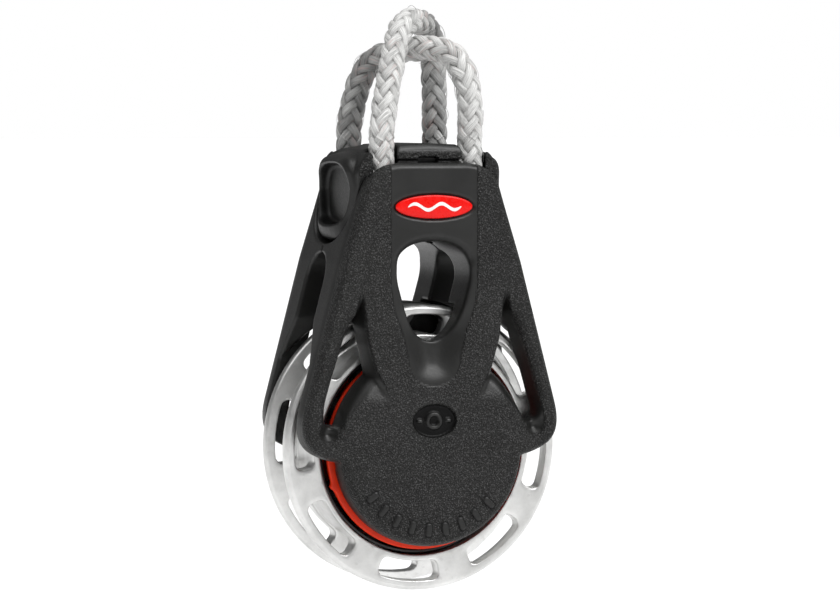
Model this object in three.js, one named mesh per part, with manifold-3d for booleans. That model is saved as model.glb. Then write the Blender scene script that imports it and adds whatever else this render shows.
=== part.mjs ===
// Single sheave block: a 40 mm ball-bearing block that hangs on a soft rope link.
// Millimetres, +Z up, X across the sheave and Y along its axle. The origin is the point at the top of the
// rope link, under the crossing of its two loops, where the link bears on whatever holds it.
import * as THREE from 'three';
import { mergeVertices } from 'three/addons/utils/BufferGeometryUtils.js';
import Module from 'manifold-3d';

const wasm = await Module();
wasm.setup();

// ---- driving dimensions, measured from the sheave's centre ----
const LOOP_BEARING_HEIGHT = 53.5;

const SHEAVE_RADIUS = 20;
const SHEAVE_HALF_WIDTH = 5.5;
const SHEAVE_BORE = 15.05;
const GROOVE_FLOOR = 15.65;
const WINDOW_COUNT = 8;
const WINDOW_INNER = 15.85;
const WINDOW_OUTER = 18.65;
const WINDOW_SPAN = 29;
const WINDOW_OFFSET = -6.7;
const TURNED_SEGMENTS = 48;

const RACE_OUTER_RADIUS = 14.9;
const RACE_BORE = 14.42;
const RACE_HALF_WIDTH = 4.4;
const BALL_PITCH = 12.6;
const BALL_RADIUS = 1.72;
const BALL_ROW_OFFSET = 2.3;
const BALLS_IN_ROW = 14;
const CAGE_RADIUS = 14.15;
const INNER_RACE_RADIUS = 10.78;
const INNER_RACE_BORE = 10.3;
const HUB_CORE_RADIUS = 10.15;

const CHEEK_FACE = 10.4;
const CHEEK_INNER = 6.35;
const CHEEK_TOP = 40;
const PARTING_GAP = 0.15;
const COVER_RADIUS = 13.6;
const SLOT_INNER_RADIUS = 14.3;
const LEG_FLANGE_REACH = 3.8;
const RIM_CLEARANCE = 20.5;

const SADDLE_HEIGHT = 37.5;
const SADDLE_RADIUS = 4.6;
const SADDLE_HALF_LENGTH = 9.0;
const ROPE_RADIUS = 1.72;
const ROPE_X = 6.5;
const ROPE_Y = 6.8;
const ROPE_CHANNEL = 2.3;
const ROPE_JOIN_HEIGHT = 43;
const HEAD_CAVITY = 9.1;

const FIT_GAP = 0.3;

// ---- helpers ----
function solidOf(geometry) {
  const bare = geometry.clone();
  bare.deleteAttribute('normal');
  bare.deleteAttribute('uv');
  const merged = mergeVertices(bare, 1e-4);
  return new wasm.Manifold(new wasm.Mesh({
    numProp: 3,
    vertProperties: new Float32Array(merged.attributes.position.array),
    triVerts: new Uint32Array(merged.index.array),
  }));
}

function geometryOf(solid) {
  const mesh = solid.getMesh();
  const geometry = new THREE.BufferGeometry();
  geometry.setAttribute('position', new THREE.BufferAttribute(new Float32Array(mesh.vertProperties), 3));
  geometry.setIndex(new THREE.BufferAttribute(new Uint32Array(mesh.triVerts), 1));
  geometry.computeVertexNormals();
  return geometry;
}

function polygon(points) {
  return new THREE.Shape(points.map(([a, b]) => new THREE.Vector2(a, b)));
}

// A shape drawn in X and Z, given thickness from y = low to y = high.
function alongY(shape, low, high, segments = 12) {
  const geometry = new THREE.ExtrudeGeometry(shape, {
    depth: high - low, bevelEnabled: false, curveSegments: segments,
  });
  geometry.rotateX(Math.PI / 2);
  geometry.translate(0, high, 0);
  return solidOf(geometry);
}

// A shape drawn in Y and Z, given thickness from x = low to x = high.
function alongX(shape, low, high, segments = 12) {
  const geometry = new THREE.ExtrudeGeometry(shape, {
    depth: high - low, bevelEnabled: false, curveSegments: segments,
  });
  geometry.rotateY(Math.PI / 2);
  geometry.rotateX(Math.PI / 2);
  geometry.translate(low, 0, 0);
  return solidOf(geometry);
}

// A shape drawn in X and Y, given thickness from z = low to z = high.
function alongZ(shape, low, high, segments = 12) {
  const geometry = new THREE.ExtrudeGeometry(shape, {
    depth: high - low, bevelEnabled: false, curveSegments: segments,
  });
  geometry.translate(0, 0, low);
  return solidOf(geometry);
}

// A ring turned about the Y axis, from a closed profile of [radius, y] points.
function turned(profile, segments = TURNED_SEGMENTS) {
  const points = profile.map(([radius, y]) => new THREE.Vector2(radius, y));
  const outward = THREE.ShapeUtils.isClockWise(points) ? points.reverse() : points;
  return solidOf(new THREE.LatheGeometry([...outward, outward[0]], segments));
}

function ring(outer, inner, low, high, segments = TURNED_SEGMENTS) {
  return turned([[inner, low], [outer, low], [outer, high], [inner, high]], segments);
}

// A cylinder along Y at (x, z), or along X with its centre at height z.
function pinAlongY(radius, low, high, x = 0, z = 0, segments = 24) {
  const geometry = new THREE.CylinderGeometry(radius, radius, high - low, segments);
  geometry.translate(x, (low + high) / 2, z);
  return solidOf(geometry);
}

function pinAlongX(radius, low, high, z, segments = 40) {
  const geometry = new THREE.CylinderGeometry(radius, radius, high - low, segments);
  geometry.rotateZ(Math.PI / 2);
  geometry.translate((low + high) / 2, 0, z);
  return solidOf(geometry);
}

function box(x0, x1, y0, y1, z0, z1) {
  const geometry = new THREE.BoxGeometry(x1 - x0, y1 - y0, z1 - z0);
  geometry.translate((x0 + x1) / 2, (y0 + y1) / 2, (z0 + z1) / 2);
  return solidOf(geometry);
}

function onCircle(radius, degrees) {
  const angle = THREE.MathUtils.degToRad(degrees);
  return [radius * Math.cos(angle), radius * Math.sin(angle)];
}

function material(color, roughness, metalness) {
  return () => new THREE.MeshStandardMaterial({ color, roughness, metalness });
}

const blackNylon = material(0x2b2b2a, 0.62, 0);
const smoothNylon = material(0x222222, 0.45, 0);
const satinAlloy = material(0xc9c9c6, 0.32, 1);
const bearingRed = material(0xc8321c, 0.45, 0);
const badgeRed = material(0xd8101a, 0.2, 0);
const acetal = material(0xe6e4dc, 0.35, 0);
const steel = material(0xb9babb, 0.3, 1);
const ropeSilver = material(0xb4b4b4, 0.7, 0);

const block = new THREE.Group();
block.position.z = -LOOP_BEARING_HEIGHT;

function add(name, shape, makeMaterial) {
  const geometry = shape.isBufferGeometry ? shape : geometryOf(shape);
  const mesh = new THREE.Mesh(geometry, makeMaterial());
  mesh.name = name;
  block.add(mesh);
}

// ---- sheave: a thin grooved ring with windows through both flanges ----
const EDGE = 0.5;
const FLANGE_INNER = 3.5;
const FLANGE_ROOT = 2.6;

function sheaveSolid() {
  const half = [
    [SHEAVE_BORE, SHEAVE_HALF_WIDTH],
    [SHEAVE_RADIUS - EDGE, SHEAVE_HALF_WIDTH],
    [SHEAVE_RADIUS - 0.12, SHEAVE_HALF_WIDTH - 0.3],
    [SHEAVE_RADIUS, SHEAVE_HALF_WIDTH - 0.75],
    [SHEAVE_RADIUS, FLANGE_INNER + 0.45],
    [SHEAVE_RADIUS - 0.35, FLANGE_INNER],
    [GROOVE_FLOOR + 0.5, FLANGE_ROOT + 0.35],
    [GROOVE_FLOOR, FLANGE_ROOT - 0.4],
  ];
  const mirrored = half.map(([radius, y]) => [radius, -y]).reverse();
  let sheave = turned([...mirrored, ...half]);
  const middle = (WINDOW_INNER + WINDOW_OUTER) / 2;
  const corner = 1.0;
  const cornerTurn = THREE.MathUtils.radToDeg(corner / middle);
  for (let k = 0; k < WINDOW_COUNT; k += 1) {
    const centre = -90 + WINDOW_OFFSET + (360 / WINDOW_COUNT) * k;
    const start = centre - WINDOW_SPAN / 2;
    const end = centre + WINDOW_SPAN / 2;
    const points = [];
    for (let step = 0; step <= 2; step += 1) {
      const at = start + cornerTurn + ((end - start - 2 * cornerTurn) * step) / 2;
      points.push(onCircle(WINDOW_OUTER, at));
    }
    points.push(onCircle(WINDOW_OUTER - 0.3 * corner, end - 0.3 * cornerTurn));
    points.push(onCircle(WINDOW_OUTER - corner, end));
    points.push(onCircle(WINDOW_INNER + corner, end));
    points.push(onCircle(WINDOW_INNER + 0.3 * corner, end - 0.3 * cornerTurn));
    for (let step = 2; step >= 0; step -= 1) {
      const at = start + cornerTurn + ((end - start - 2 * cornerTurn) * step) / 2;
      points.push(onCircle(WINDOW_INNER, at));
    }
    points.push(onCircle(WINDOW_INNER + 0.3 * corner, start + 0.3 * cornerTurn));
    points.push(onCircle(WINDOW_INNER + corner, start));
    points.push(onCircle(WINDOW_OUTER - corner, start));
    points.push(onCircle(WINDOW_OUTER - 0.3 * corner, start + 0.3 * cornerTurn));
    sheave = sheave.subtract(alongY(polygon(points), -7, 7));
  }
  return sheave;
}

// ---- bearing: two caged rows of balls between the hub's sleeve and the sheave's liner ----
const CAGE_WEB_OUTER = 13.05;
const CAGE_WEB_INNER = 12.15;
const CAGE_RIM_LOW = 5.25;
const CAGE_RIM_HIGH = 6.05;
const CAGE_WEB_END = 0.75;
const NUB_DEGREES = 200;

function cageSolid(side) {
  const profile = [
    [CAGE_WEB_INNER, CAGE_WEB_END], [CAGE_WEB_OUTER, CAGE_WEB_END], [CAGE_WEB_OUTER, CAGE_RIM_LOW],
    [CAGE_RADIUS, CAGE_RIM_LOW], [CAGE_RADIUS, CAGE_RIM_HIGH], [CAGE_WEB_INNER, CAGE_RIM_HIGH],
  ];
  let cage = turned(profile.map(([radius, y]) => [radius, side * y]), 42);
  const [nubX, nubZ] = onCircle(CAGE_RADIUS - 0.1, NUB_DEGREES);
  const nubLow = side > 0 ? CAGE_RIM_LOW : -CAGE_RIM_HIGH;
  cage = cage.add(pinAlongY(0.55, nubLow, nubLow + CAGE_RIM_HIGH - CAGE_RIM_LOW, nubX, nubZ, 10));
  for (let k = 0; k < BALLS_IN_ROW; k += 1) {
    const pocket = new THREE.SphereGeometry(BALL_RADIUS + 0.2, 8, 4);
    const [x, z] = onCircle(BALL_PITCH, (360 / BALLS_IN_ROW) * k);
    pocket.translate(x, side * BALL_ROW_OFFSET, z);
    cage = cage.subtract(solidOf(pocket));
  }
  return cage;
}

function ballGeometry(side, k) {
  const geometry = new THREE.SphereGeometry(BALL_RADIUS, 7, 5);
  const [x, z] = onCircle(BALL_PITCH, (360 / BALLS_IN_ROW) * k);
  geometry.translate(x, side * BALL_ROW_OFFSET, z);
  return geometryOf(solidOf(geometry));
}

// ---- cheeks ----
const EAR_ANGLE = 5;
const DOWEL_CIRCLE = 6.6;
const DOWEL_RADIUS = 0.8;
const DOWEL_HALF_LENGTH = 6;
const HEAD_DOWEL_X = 10.6;
const HEAD_DOWEL_Z = 27.6;
const HEAD_DOWEL_HALF_LENGTH = 3.2;
const AXLE_RADIUS = 3.0;
const AXLE_BORE = 1.6;
const AXLE_HALF_LENGTH = 8.2;
const BADGE_HEIGHT = 33.7;
const BADGE_HALF_WIDTH = 5.6;
const BADGE_HALF_HEIGHT = 1.75;
const BADGE_DEPTH = 0.5;

function cheekOutline() {
  const shape = new THREE.Shape();
  const [hubX, hubZ] = onCircle(COVER_RADIUS, -EAR_ANGLE);
  shape.moveTo(-4.8, CHEEK_TOP);
  shape.lineTo(4.8, CHEEK_TOP);
  shape.quadraticCurveTo(8.9, CHEEK_TOP - 0.2, 10.1, 36.6);
  shape.lineTo(11.0, 33.6);
  shape.lineTo(18.9, 5.2);
  shape.bezierCurveTo(19.5, 2.6, 18.4, 0.9, 16.6, -0.1);
  shape.quadraticCurveTo(14.6, -1.0, hubX, hubZ);
  shape.absarc(0, 0, COVER_RADIUS, THREE.MathUtils.degToRad(-EAR_ANGLE),
    THREE.MathUtils.degToRad(180 + EAR_ANGLE), true);
  shape.quadraticCurveTo(-14.6, -1.0, -16.6, -0.1);
  shape.bezierCurveTo(-18.4, 0.9, -19.5, 2.6, -18.9, 5.2);
  shape.lineTo(-11.0, 33.6);
  shape.lineTo(-10.1, 36.6);
  shape.quadraticCurveTo(-8.9, CHEEK_TOP - 0.2, -4.8, CHEEK_TOP);
  return shape;
}

function windowShape() {
  const shape = new THREE.Shape();
  shape.moveTo(0, 29);
  shape.bezierCurveTo(3.6, 29, 5.4, 27.6, 5.4, 25.0);
  shape.bezierCurveTo(5.4, 21.2, 3.2, 15.0, 0, 15.0);
  shape.bezierCurveTo(-3.2, 15.0, -5.4, 21.2, -5.4, 25.0);
  shape.bezierCurveTo(-5.4, 27.6, -3.6, 29, 0, 29);
  return shape;
}

// The slot between a leg and the hub cover; hand is +1 on the right and -1 on the left.
function slotShape(hand) {
  const points = [];
  for (let degrees = 16; degrees <= 49; degrees += 5.5) {
    points.push(onCircle(SLOT_INNER_RADIUS, degrees));
  }
  points.push([9.75, 13.2], [10.9, 17.3], [11.5, 17.9], [12.0, 17.4], [16.1, 5.0], [16.2, 4.3], [15.7, 3.8]);
  return polygon(points.map(([x, z]) => [hand * x, z]));
}

// The side wall of the head and the leg, drawn in X and Z, for one hand.
function sideWallShape(hand) {
  const points = [[17.6, 10.0], [11.0, 33.6], [10.6, 35.2], [8.95, 34.6], [9.2, 33.1], [15.8, 9.4]];
  return polygon(points.map(([x, z]) => [hand * x, z]));
}

// The mouth that the line enters by, seen from the side: straight legs under a round arch.
function lineEntryShape() {
  const shape = new THREE.Shape();
  shape.moveTo(LEG_FLANGE_REACH, 0);
  shape.lineTo(LEG_FLANGE_REACH, 23.4);
  shape.absarc(0, 23.4, LEG_FLANGE_REACH, 0, Math.PI, false);
  shape.lineTo(-LEG_FLANGE_REACH, 0);
  shape.closePath();
  return shape;
}

// The barrelled end of the head insert, seen from the side, grown by a margin.
function insertEndShape(margin) {
  const half = 7.0 + margin;
  const shape = new THREE.Shape();
  shape.moveTo(half, 45);
  shape.lineTo(half, 34.5);
  shape.bezierCurveTo(half, 31.0, 4.2 + margin, 28.7 - margin, 0, 28.7 - margin);
  shape.bezierCurveTo(-4.2 - margin, 28.7 - margin, -half, 31.0, -half, 34.5);
  shape.lineTo(-half, 45);
  shape.closePath();
  return shape;
}

function dowelPlaces() {
  return [90, 210, 330].map((degrees) => onCircle(DOWEL_CIRCLE, degrees));
}

function badgeShape(margin) {
  const shape = new THREE.Shape();
  shape.absellipse(0, BADGE_HEIGHT, BADGE_HALF_WIDTH + margin, BADGE_HALF_HEIGHT + margin, 0, 2 * Math.PI, true, 0);
  return shape;
}

function frontCheek() {
  let cheek = alongY(cheekOutline(), -CHEEK_FACE, -CHEEK_INNER, 10);
  cheek = cheek.add(pinAlongY(HUB_CORE_RADIUS, -CHEEK_INNER - 0.5, -PARTING_GAP, 0, 0, 48));
  for (const hand of [1, -1]) {
    cheek = cheek.add(alongY(sideWallShape(hand), -CHEEK_INNER - 1.5, -PARTING_GAP));
  }
  cheek = cheek.add(box(-10.9, 10.9, -CHEEK_INNER - 0.5, -4.2, 29.4, 31.0)
    .subtract(pinAlongX(HEAD_CAVITY, -12, 12, SADDLE_HEIGHT)));
  cheek = cheek.subtract(alongX(lineEntryShape(), -22, 22));
  cheek = cheek.subtract(alongY(windowShape(), -12, -2, 10));
  for (const hand of [1, -1]) {
    cheek = cheek.subtract(alongY(slotShape(hand), -12, -2));
    cheek = cheek.subtract(pinAlongY(DOWEL_RADIUS + 0.1, -HEAD_DOWEL_HALF_LENGTH - 0.2, 1,
      hand * HEAD_DOWEL_X, HEAD_DOWEL_Z, 12));
    const ends = alongX(insertEndShape(FIT_GAP), 8.7, 14).intersect(box(8, 14, -9.2, 9.2, 20, 46));
    cheek = cheek.subtract(hand > 0 ? ends : ends.mirror([1, 0, 0]));
  }
  cheek = cheek.subtract(pinAlongX(HEAD_CAVITY, -9.1, 9.1, SADDLE_HEIGHT));
  cheek = cheek.subtract(box(-9.1, 9.1, -HEAD_CAVITY, 2, SADDLE_HEIGHT, 46));
  cheek = cheek.subtract(ring(RIM_CLEARANCE, HUB_CORE_RADIUS + 0.01, -CHEEK_INNER, 2));
  cheek = cheek.subtract(pinAlongY(AXLE_RADIUS + 0.1, -AXLE_HALF_LENGTH - 0.2, 1, 0, 0, 24));
  for (const [x, z] of dowelPlaces()) {
    cheek = cheek.subtract(pinAlongY(DOWEL_RADIUS + 0.1, -DOWEL_HALF_LENGTH - 0.2, 1, x, z, 12));
  }
  cheek = cheek.subtract(alongY(badgeShape(0.15), -12, -CHEEK_FACE + BADGE_DEPTH, 16));
  return cheek;
}

// ---- head insert and saddle ----
function domeShape() {
  const half = [[0, 42.4], [4.5, 42.2], [8.2, 41.7], [10.4, 40.9], [12.0, 39.3], [12.8, 37.2], [13.0, 34.0],
    [12.6, 31.0], [11.8, 29.2], [10.8, 28.4]];
  const left = half.slice(1).map(([x, z]) => [-x, z]).reverse();
  return polygon([...half, ...left].reverse());
}

function barrelShape() {
  const half = [[13.0, 0], [12.75, 2.0], [12.1, 4.0], [11.1, 5.8], [10.0, 7.0], [9.2, 8.4], [0, 8.4]];
  const back = half.slice(1, -1).map(([x, y]) => [-x, y]).reverse();
  const upper = [...half.slice(0, -1), ...back, [-13.0, 0]];
  const lower = upper.slice(1, -1).map(([x, y]) => [x, -y]).reverse();
  return polygon([...upper, ...lower]);
}

function saddleShape(margin) {
  const radius = SADDLE_RADIUS + margin;
  const top = SADDLE_HEIGHT + 1.2 + margin;
  const rise = Math.asin((1.2 + margin) / radius);
  const shape = new THREE.Shape();
  shape.moveTo(radius * Math.cos(rise), top);
  shape.lineTo(-radius * Math.cos(rise), top);
  shape.absarc(0, SADDLE_HEIGHT, radius, Math.PI - rise, 2 * Math.PI + rise, false);
  return shape;
}

function bightPath(hand, top) {
  const path = new THREE.CurvePath();
  const corners = [];
  for (let degrees = 180; degrees <= 360; degrees += 22.5) {
    const [y, z] = onCircle(ROPE_Y, degrees);
    corners.push(new THREE.Vector3(hand * ROPE_X, y, SADDLE_HEIGHT + z));
  }
  corners.unshift(new THREE.Vector3(hand * ROPE_X, -ROPE_Y, top));
  corners.push(new THREE.Vector3(hand * ROPE_X, ROPE_Y, top));
  for (let k = 1; k < corners.length; k += 1) {
    path.add(new THREE.LineCurve3(corners[k - 1], corners[k]));
  }
  return path;
}

function ropeAlong(path, radius, steps, sides = 8) {
  const section = new THREE.Shape();
  section.absarc(0, 0, radius, 0, 2 * Math.PI, false);
  const geometry = new THREE.ExtrudeGeometry(section, { steps, extrudePath: path, curveSegments: sides / 2 });
  return solidOf(geometry);
}

function insertSolid() {
  let insert = alongY(domeShape(), -8.6, 8.6).intersect(alongZ(barrelShape(), 20, 46));
  const cheekTopStep = box(-14, 14, -9, 9, 20, CHEEK_TOP + FIT_GAP)
    .intersect(box(-8.9, 8.9, -8.7, 8.7, 31.4, 45)
      .intersect(pinAlongX(8.7, -9, 9, SADDLE_HEIGHT).add(box(-9, 9, -8.7, 8.7, SADDLE_HEIGHT, 46))));
  const cap = box(-8.9, 8.9, -8.7, 8.7, CHEEK_TOP, 45);
  const ends = alongX(insertEndShape(0), -14, 14).subtract(box(-9.05, 9.05, -9, 9, 20, 31.4));
  insert = insert.intersect(cheekTopStep.add(cap).add(ends));
  insert = insert.subtract(box(-8.4, 8.4, -10, 10, 20, 31.4));
  for (const hand of [1, -1]) {
    insert = insert.subtract(ropeAlong(bightPath(hand, 47), ROPE_CHANNEL, 14, 8));
    const pocket = new THREE.Shape();
    pocket.absellipse(0, 35.2, 4.3, 4.3, 0, 2 * Math.PI, true, 0);
    const cut = alongX(pocket, 11.0, 15, 14);
    insert = insert.subtract(hand > 0 ? cut : cut.mirror([1, 0, 0]));
  }
  return insert.subtract(alongX(saddleShape(0.15), -SADDLE_HALF_LENGTH - 0.15, SADDLE_HALF_LENGTH + 0.15));
}

// ---- rope link ----
// Each loop's centreline rises from one rope leg, crosses over the middle and comes down to the leg diagonally
// opposite. A point is a share of the way from the centre to a leg, and a height above the sheave's centre.
const LOOP_OVER = [[-1, 43.15], [-0.93, 45.6], [-0.81, 49.2], [-0.68, 52.2], [-0.48, 55.8], [-0.22, 58.55],
  [0.12, 59.45], [0.48, 59.3], [0.78, 58.1], [0.93, 55.4], [0.96, 51.6], [0.98, 47.4], [1, 43.15]];
const LOOP_UNDER = [[-1, 43.15], [-1.01, 46.4], [-0.97, 50.1], [-0.84, 53.1], [-0.6, 55.1], [-0.3, 55.6],
  [0, 55.4], [0.3, 54.95], [0.56, 54.0], [0.77, 51.8], [0.9, 48.6], [0.97, 45.6], [1, 43.15]];

function loopPath(points, yHand) {
  return new THREE.CatmullRomCurve3(points.map(([share, z]) => new THREE.Vector3(
    share * ROPE_X, yHand * share * ROPE_Y, z)));
}

// ---- the assembly ----
const front = frontCheek();
add('cheek_front', front, blackNylon);
add('cheek_rear', front.mirror([0, 1, 0]), blackNylon);
add('head_insert', insertSolid(), smoothNylon);
add('rope_saddle', alongX(saddleShape(0), -SADDLE_HALF_LENGTH, SADDLE_HALF_LENGTH, 10), satinAlloy);

for (const [name, side] of [['badge_front', -1], ['badge_rear', 1]]) {
  const low = side < 0 ? -CHEEK_FACE + 0.05 : CHEEK_FACE - BADGE_DEPTH + 0.05;
  add(name, alongY(badgeShape(0), low, low + BADGE_DEPTH - 0.1, 16), badgeRed);
}

add('hub_axle', ring(AXLE_RADIUS, AXLE_BORE, -AXLE_HALF_LENGTH, AXLE_HALF_LENGTH, 24), steel);
add('inner_race', ring(INNER_RACE_RADIUS, INNER_RACE_BORE, -5, 5), steel);
dowelPlaces().forEach(([x, z], index) => {
  add(`hub_dowel_${index + 1}`, pinAlongY(DOWEL_RADIUS, -DOWEL_HALF_LENGTH, DOWEL_HALF_LENGTH, x, z, 12), steel);
});
for (const [name, hand] of [['head_dowel_left', -1], ['head_dowel_right', 1]]) {
  add(name, pinAlongY(DOWEL_RADIUS, -HEAD_DOWEL_HALF_LENGTH, HEAD_DOWEL_HALF_LENGTH,
    hand * HEAD_DOWEL_X, HEAD_DOWEL_Z, 12), steel);
}

add('sheave', sheaveSolid(), satinAlloy);
add('outer_race', ring(RACE_OUTER_RADIUS, RACE_BORE, -RACE_HALF_WIDTH, RACE_HALF_WIDTH), smoothNylon);

for (const [name, side] of [['front', -1], ['rear', 1]]) {
  add(`ball_cage_${name}`, cageSolid(side), bearingRed);
  for (let k = 0; k < BALLS_IN_ROW; k += 1) {
    add(`ball_${name}_${String(k + 1).padStart(2, '0')}`, ballGeometry(side, k), acetal);
  }
}

add('link_loop_over', ropeAlong(loopPath(LOOP_OVER, 1), ROPE_RADIUS, 22), ropeSilver);
add('link_loop_under', ropeAlong(loopPath(LOOP_UNDER, -1), ROPE_RADIUS, 22), ropeSilver);
for (const [name, hand] of [['rope_bight_left', -1], ['rope_bight_right', 1]]) {
  add(name, ropeAlong(bightPath(hand, ROPE_JOIN_HEIGHT - FIT_GAP), ROPE_RADIUS, 16), ropeSilver);
}

export default block;
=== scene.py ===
"""Single sheave block on a soft rope link: the visual model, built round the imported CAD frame.

The shapes are worked out in millimetres from the sheave's centre (X across the sheave, Y along its axle, +Z
up), and go into the meshes in metres in the row frame.
"""
import math
import bpy
import numpy as np
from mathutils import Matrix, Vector


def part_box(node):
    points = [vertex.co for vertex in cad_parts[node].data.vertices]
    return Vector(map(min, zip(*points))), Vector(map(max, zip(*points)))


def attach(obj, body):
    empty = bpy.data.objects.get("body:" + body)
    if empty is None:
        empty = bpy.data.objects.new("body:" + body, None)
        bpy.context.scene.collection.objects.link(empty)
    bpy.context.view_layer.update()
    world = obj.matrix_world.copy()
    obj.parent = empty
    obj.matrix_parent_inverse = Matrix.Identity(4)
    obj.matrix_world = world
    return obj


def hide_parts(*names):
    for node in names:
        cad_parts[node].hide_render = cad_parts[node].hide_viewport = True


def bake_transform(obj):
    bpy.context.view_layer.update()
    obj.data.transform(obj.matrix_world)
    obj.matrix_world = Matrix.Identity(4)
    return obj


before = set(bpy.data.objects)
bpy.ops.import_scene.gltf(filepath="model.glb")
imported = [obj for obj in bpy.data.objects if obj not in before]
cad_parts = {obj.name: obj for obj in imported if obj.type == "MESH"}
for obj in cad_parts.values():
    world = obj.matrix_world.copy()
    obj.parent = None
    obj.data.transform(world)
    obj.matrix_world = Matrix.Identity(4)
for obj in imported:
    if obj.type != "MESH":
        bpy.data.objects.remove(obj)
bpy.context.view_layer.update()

MM = 0.001
SHEAVE_CENTRE = sum(np.array(corner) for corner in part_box("sheave")) / 2
SHEAVE_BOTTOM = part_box("sheave")[0][2]

# ---- sizes in millimetres ----
CHEEK_FACE = 10.4
HUB_RADIUS = 13.45
HUB_CORE_RADIUS = 10.15
PARTING_GAP = 0.15
BADGE_HEIGHT = 33.7
SADDLE_HEIGHT = 37.5
ROPE_X = 6.5
ROPE_Y = 6.8
ROPE_JOIN = 43.0
FLOOR_CLEARANCE = 60.0


def row(points):
    """Millimetres from the sheave's centre, as metres in the row frame."""
    return np.asarray(points, float) * MM + SHEAVE_CENTRE


# ---- camera, light and floor ----
def towards(azimuth, elevation):
    """The way to a viewer or a lamp, in degrees: azimuth 0 is the front and grows to the right."""
    a, e = math.radians(azimuth), math.radians(elevation)
    return Vector((math.sin(a) * math.cos(e), -math.cos(a) * math.cos(e), math.sin(e)))


def look(place, azimuth, elevation, lens):
    """A camera at a place, held level, that looks against the way given by its azimuth and elevation."""
    camera = bpy.data.objects.new("camera", bpy.data.cameras.new("camera"))
    camera.data.lens = lens
    camera.data.sensor_width = 36
    camera.data.clip_start, camera.data.clip_end = 0.01, 30
    camera.location = Vector(place)
    camera.rotation_mode = "QUATERNION"
    camera.rotation_quaternion = (-towards(azimuth, elevation)).to_track_quat("-Z", "Y")
    bpy.context.collection.objects.link(camera)
    bpy.context.scene.camera = camera


def soft_sun(name, azimuth, elevation, strength, spread):
    """A far, wide soft source, with its spread in degrees."""
    lamp = bpy.data.objects.new(name, bpy.data.lights.new(name, "SUN"))
    lamp.data.energy = strength
    lamp.data.angle = math.radians(spread)
    lamp.rotation_euler = towards(azimuth, elevation).to_track_quat("Z", "Y").to_euler()
    bpy.context.collection.objects.link(lamp)


look(row([-138.9, -372.9, 45.2]), -20.66, 3.58, 121.47)
soft_sun("key_light", 34, 44, 2.7, 40)
soft_sun("fill_light", -84, 48, 0.5, 36)
soft_sun("top_light", 10, 84, 1.3, 50)

SEEN_LEVEL, LIGHTING_LEVEL = 1.0, 0.17
world = bpy.data.worlds.new("studio")
world.use_nodes = True
sky = world.node_tree
seen = sky.nodes.new("ShaderNodeLightPath").outputs["Is Camera Ray"]
level = sky.nodes.new("ShaderNodeMapRange")
level.inputs["To Min"].default_value, level.inputs["To Max"].default_value = LIGHTING_LEVEL, SEEN_LEVEL
sky.links.new(seen, level.inputs["Value"])
sky.links.new(level.outputs["Result"], sky.nodes["Background"].inputs["Strength"])
sky.nodes["Background"].inputs["Color"].default_value = (1, 1, 1, 1)
bpy.context.scene.world = world
bpy.context.scene.view_settings.view_transform = "Standard"


# ---- mesh making ----
def piece(name, points, faces, finish, body=None, replaced=(), sharp=None, marks=None, uv=None):
    """A mesh from whole arrays: points in millimetres, and faces as arrays of point numbers, one per face
    size.

    Edges sharper than the angle stay hard. The marks are numbers on the points, and uv is one pair for each
    point.
    """
    mesh = bpy.data.meshes.new(name)
    blocks = [np.asarray(block, np.int64) for block in faces if len(block)]
    corners = np.concatenate([block.ravel() for block in blocks])
    sizes = np.concatenate([np.full(len(block), block.shape[1]) for block in blocks])
    starts = np.concatenate([[0], np.cumsum(sizes)[:-1]])
    mesh.vertices.add(len(points))
    mesh.vertices.foreach_set("co", row(points).astype(np.float32).ravel())
    mesh.loops.add(len(corners))
    mesh.loops.foreach_set("vertex_index", corners.astype(np.int32))
    mesh.polygons.add(len(sizes))
    mesh.polygons.foreach_set("loop_start", starts.astype(np.int32))
    mesh.update(calc_edges=True)
    mesh.polygons.foreach_set("use_smooth", np.ones(len(sizes), bool))
    if sharp is not None:
        mesh.set_sharp_from_angle(angle=math.radians(sharp))
    for mark, values in (marks or {}).items():
        layer = mesh.attributes.new(mark, "FLOAT", "POINT")
        layer.data.foreach_set("value", np.asarray(values, np.float32))
    if uv is not None:
        layer = mesh.uv_layers.new(name="strand")
        layer.data.foreach_set("uv", np.asarray(uv, np.float32)[corners].ravel())
    mesh.materials.append(finish)
    made = bpy.data.objects.new(name, mesh)
    bpy.context.collection.objects.link(made)
    if body:
        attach(made, body)
    if replaced:
        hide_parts(*replaced)
    return made


def grid_faces(rows, columns, wrap_rows=False, wrap_columns=False):
    """Quads of a grid of points numbered row by row, closed on itself where it wraps."""
    r = np.arange(rows if wrap_rows else rows - 1)[:, None]
    c = np.arange(columns if wrap_columns else columns - 1)[None, :]
    r2, c2 = (r + 1) % rows, (c + 1) % columns
    corners = np.broadcast_arrays(r * columns + c, r2 * columns + c, r2 * columns + c2, r * columns + c2)
    return np.stack(corners, -1).reshape(-1, 4)


def welded(parts, tolerance=1e-4):
    """Patches of (points, quads) joined: points nearer than the tolerance become one, and flat slivers go.
    """
    points = np.concatenate([p for p, _ in parts])
    offsets = np.cumsum([0] + [len(p) for p, _ in parts[:-1]])
    faces = np.concatenate([f + o for (_, f), o in zip(parts, offsets)])
    keys = np.round(points / tolerance).astype(np.int64)
    _, first, same = np.unique(keys, axis=0, return_index=True, return_inverse=True)
    faces = same.reshape(-1)[faces]
    alike = sum((faces == np.roll(faces, 1, 1)).astype(int).T)
    quads, triangles = faces[alike == 0], faces[alike == 1]
    keep = triangles != np.roll(triangles, 1, 1)
    return points[first], [quads, triangles[keep].reshape(-1, 3)]


def facing(faces, outwards):
    """Faces as they are, or each with its points in the other order."""
    return faces if outwards else faces[:, ::-1]


def full_turn(count):
    """Even angles once round, without the last."""
    return np.linspace(0, 2 * np.pi, count, endpoint=False)


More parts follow.
